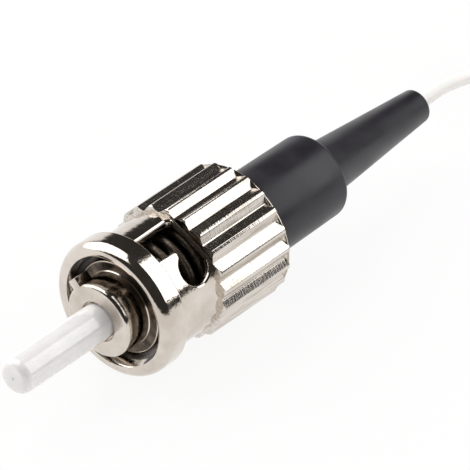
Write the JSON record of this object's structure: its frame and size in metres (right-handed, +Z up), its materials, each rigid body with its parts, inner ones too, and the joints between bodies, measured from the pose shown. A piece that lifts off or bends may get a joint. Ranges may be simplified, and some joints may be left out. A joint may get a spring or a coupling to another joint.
{
  "type": "fibre optic patch cord",
  "caption": "Fibre optic patch cord: thin buffered fibre, folded into a tied hank, with a sprung bayonet connector, ceramic ferrule and moulded boot on each end.",
  "frame": {"origin": "on the surface that the cord lies on, under the middle of the near connector's axis", "axes": "+Y along the near connector from its ferrule tip to its boot, +Z up"},
  "size_m": [0.0108, 0.1239, 0.0096],
  "materials": {
    "zirconia_ceramic": "polished white zirconia",
    "optical_glass": "clear",
    "white_buffer_plastic": "satin off-white",
    "nickel_plated_brass": "bright nickel plate on turned brass",
    "spring_steel": "drawn wire and stamped strip",
    "clear_guide_plastic": "smooth translucent tube",
    "black_moulded_rubber": "satin black, moulded",
    "black_strap": "woven black strap"
  },
  "bodies": {
    "cord": {"ferrule": "zirconia_ceramic", "glass_fibre": "optical_glass", "fibre_coating": "white_buffer_plastic", "connector_body": "nickel_plated_brass", "spring": "spring_steel", "retaining_clip": "spring_steel", "buffer_guide": "clear_guide_plastic", "boot": "black_moulded_rubber", "cord_near": "white_buffer_plastic", "cord_hank": "white_buffer_plastic", "cord_far": "white_buffer_plastic", "cord_tie": "black_strap", "far_ferrule": "zirconia_ceramic", "far_glass_fibre": "optical_glass", "far_fibre_coating": "white_buffer_plastic", "far_connector_body": "nickel_plated_brass", "far_spring": "spring_steel", "far_retaining_clip": "spring_steel", "far_buffer_guide": "clear_guide_plastic", "far_boot": "black_moulded_rubber"},
    "washer": {"thrust_washer": "spring_steel"},
    "nut": {"coupling_nut": "nickel_plated_brass"},
    "far_washer": {"far_thrust_washer": "spring_steel"},
    "far_nut": {"far_coupling_nut": "nickel_plated_brass"}
  },
  "joints": [
    {"name": "nut_slide", "type": "slide", "parent": "cord", "child": "washer", "axis": [0, -1, 0], "range_m": [0, 0.0015], "stiffness_N_per_m": 1500, "springref_m": -0.003, "deforming": ["spring"]},
    {"name": "nut_turn", "type": "hinge", "parent": "washer", "child": "nut", "pos_m": [0, -0.0048, 0.0048], "axis": [0, 1, 0], "continuous": true},
    {"name": "far_nut_slide", "type": "slide", "parent": "cord", "child": "far_washer", "axis": [0, 1, 0], "range_m": [0, 0.0015], "stiffness_N_per_m": 1500, "springref_m": -0.003, "deforming": ["far_spring"]},
    {"name": "far_nut_turn", "type": "hinge", "parent": "far_washer", "child": "far_nut", "pos_m": [0, 0.0888, 0.0048], "axis": [0, -1, 0], "continuous": true}
  ]
}
